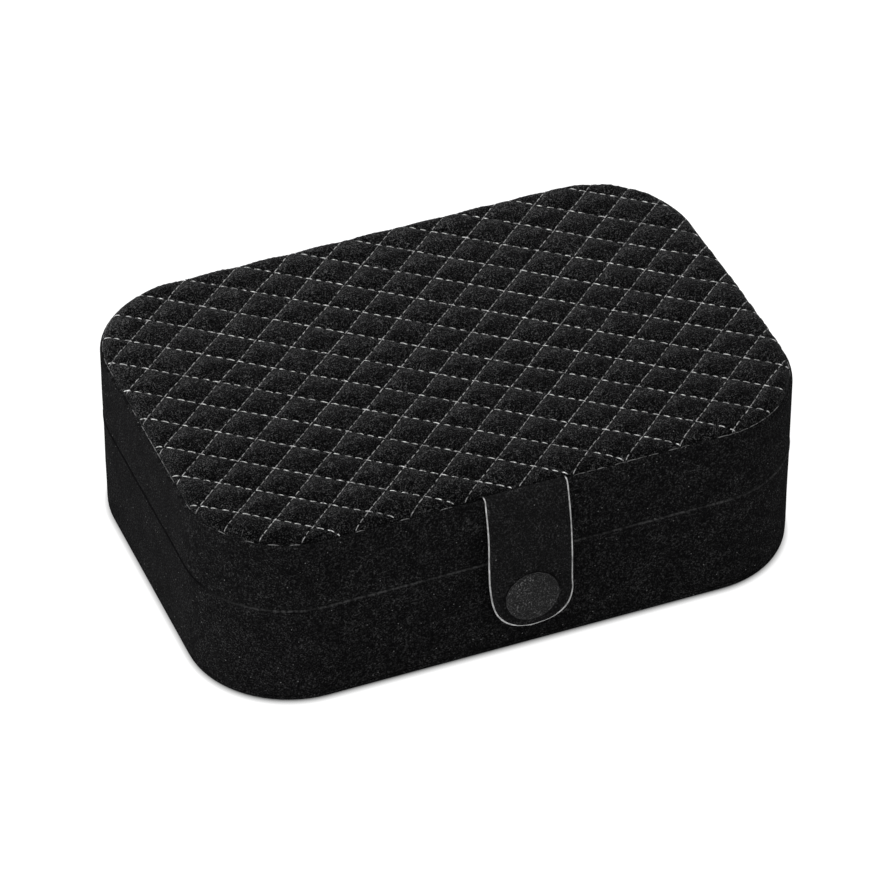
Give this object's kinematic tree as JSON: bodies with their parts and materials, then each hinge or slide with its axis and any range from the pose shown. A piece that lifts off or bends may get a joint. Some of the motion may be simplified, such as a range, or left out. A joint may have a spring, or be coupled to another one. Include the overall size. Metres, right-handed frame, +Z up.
{
  "type": "jewellery case",
  "caption": "Rectangular velvet jewellery case with round corners, a hinged quilted lid with a mirror inside, a press-stud closing tab, and ring bars and compartments in the base.",
  "frame": {"origin": "centre of the underside, on the table", "axes": "+X right along the case's length, +Y to the hinged back, +Z up; the tab is at -Y"},
  "size_m": [0.16, 0.1185, 0.0522],
  "materials": {
    "velvet": "black cotton velvet, short pile",
    "quilted_velvet": "black velvet, diamond quilted with pale grey thread",
    "lining_velvet": "black velvet on thin card",
    "ring_velvet": "black velvet on foam",
    "foam": "open-cell foam sheet",
    "board": "dense grey board",
    "tab_core": "pale grey backing, cut edge",
    "snap_steel": "nickel-plated",
    "hinge_steel": "nickel-plated",
    "mirror": "silvered glass"
  },
  "bodies": {
    "base": {"bottom_panel": "velvet", "base_wall": "board", "base_cover": "velvet", "tray_lining": "lining_velvet", "tray_floor": "lining_velvet", "left_divider": "lining_velvet", "right_divider": "lining_velvet", "cross_divider": "lining_velvet", "ring_roll_1": "ring_velvet", "ring_roll_2": "ring_velvet", "ring_roll_3": "ring_velvet", "ring_roll_4": "ring_velvet", "ring_roll_5": "ring_velvet", "ring_roll_6": "ring_velvet", "ring_roll_7": "ring_velvet", "snap_stud": "snap_steel", "stud_post": "snap_steel", "hinge_base_leaf_left": "hinge_steel", "hinge_base_leaf_right": "hinge_steel", "hinge_pin_left": "hinge_steel", "hinge_pin_right": "hinge_steel"},
    "lid": {"lid_wall": "board", "lid_board": "board", "lid_cover": "velvet", "lid_lining": "lining_velvet", "mirror_frame": "lining_velvet", "mirror_glass": "mirror", "top_padding": "foam", "quilted_top": "quilted_velvet", "tab_tail": "tab_core", "hinge_lid_leaf_left": "hinge_steel", "hinge_lid_leaf_right": "hinge_steel"},
    "tab": {"tab_face": "velvet", "tab_core": "tab_core", "tab_backing": "velvet", "snap_cap": "snap_steel", "cap_cover": "velvet", "snap_socket": "snap_steel"}
  },
  "joints": [
    {"name": "lid_hinge", "type": "hinge", "parent": "base", "child": "lid", "pos_m": [0, 0.0544, 0.03], "axis": [-1, 0, 0], "range_deg": [0, 105]},
    {"name": "tab_fold", "type": "hinge", "parent": "lid", "child": "tab", "pos_m": [-0.0015, -0.0554, 0.0504], "axis": [-1, 0, 0], "range_deg": [-2.5, 150]}
  ]
}
